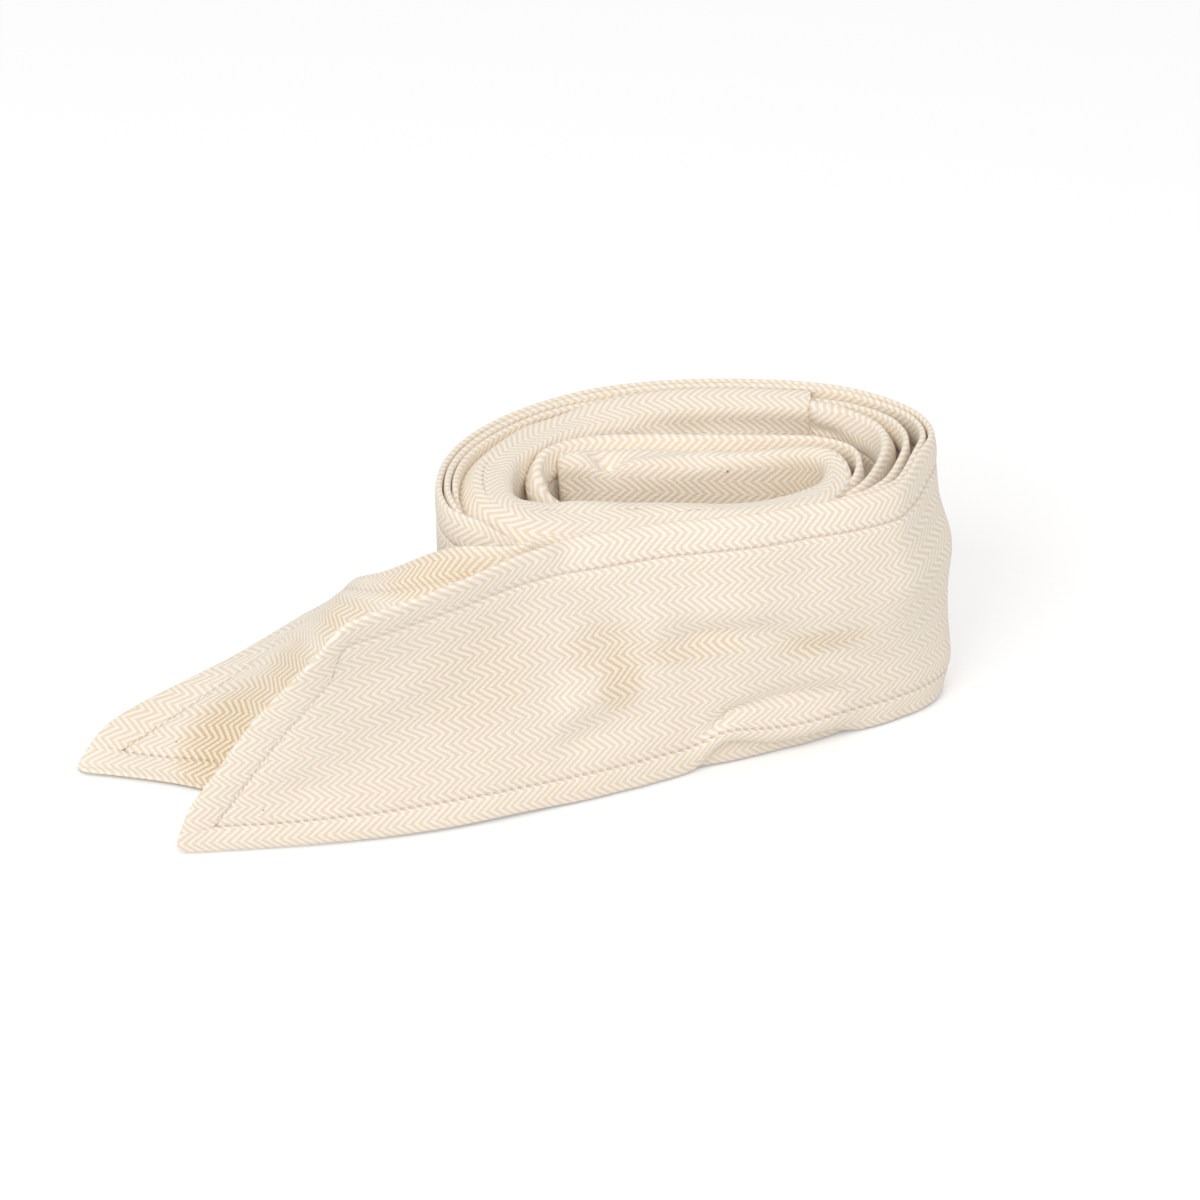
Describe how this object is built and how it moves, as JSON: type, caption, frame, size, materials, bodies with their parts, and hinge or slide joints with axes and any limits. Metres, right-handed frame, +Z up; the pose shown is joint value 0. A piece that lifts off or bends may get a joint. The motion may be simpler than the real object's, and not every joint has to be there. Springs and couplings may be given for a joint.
{
  "type": "arm sling",
  "caption": "Padded cotton arm sling: a broad herringbone tape with a wadded arm pad, wound into an oval roll standing on its edge, with two slanted tie ends lying free.",
  "frame": {"origin": "on the surface it stands on, under the middle of the whole", "axes": "+Z up along the band's width, +X from the free tie ends towards the roll's right end, +Y to the back of the roll"},
  "size_m": [0.3028, 0.167, 0.105],
  "materials": {
    "cotton_cloth": "matte unbleached herringbone cotton",
    "wadding": "matte loose wadding",
    "thread": "matte cotton sewing thread"
  },
  "bodies": {
    "roll": {"front_tie_outer_ply": "cotton_cloth", "front_tie_inner_ply": "cotton_cloth", "front_tie_topstitching": "thread", "rear_tie_outer_ply": "cotton_cloth", "rear_tie_inner_ply": "cotton_cloth", "rear_tie_topstitching": "thread", "pad_cover_outer_face": "cotton_cloth", "pad_cover_inner_face": "cotton_cloth", "pad_wadding": "wadding", "front_join_tucks": "cotton_cloth", "rear_join_tucks": "cotton_cloth", "front_join_seam": "thread", "rear_join_seam": "thread"},
    "front_tail": {"front_tail_outer_ply": "cotton_cloth", "front_tail_inner_ply": "cotton_cloth", "front_tail_topstitching": "thread"},
    "rear_tail": {"rear_tail_outer_ply": "cotton_cloth", "rear_tail_inner_ply": "cotton_cloth", "rear_tail_topstitching": "thread"}
  },
  "joints": [
    {"name": "front_tail_swing", "type": "hinge", "parent": "roll", "child": "front_tail", "pos_m": [0.01856, -0.04068, 0], "axis": [0, 0, 1], "range_deg": [0, 70]},
    {"name": "rear_tail_swing", "type": "hinge", "parent": "roll", "child": "rear_tail", "pos_m": [0.00956, -0.04188, 0], "axis": [0, 0, 1], "range_deg": [0, 63]}
  ],
  "couplings": [
    {"joint": "rear_tail_swing", "follows": "front_tail_swing", "ratio": 0.9}
  ]
}
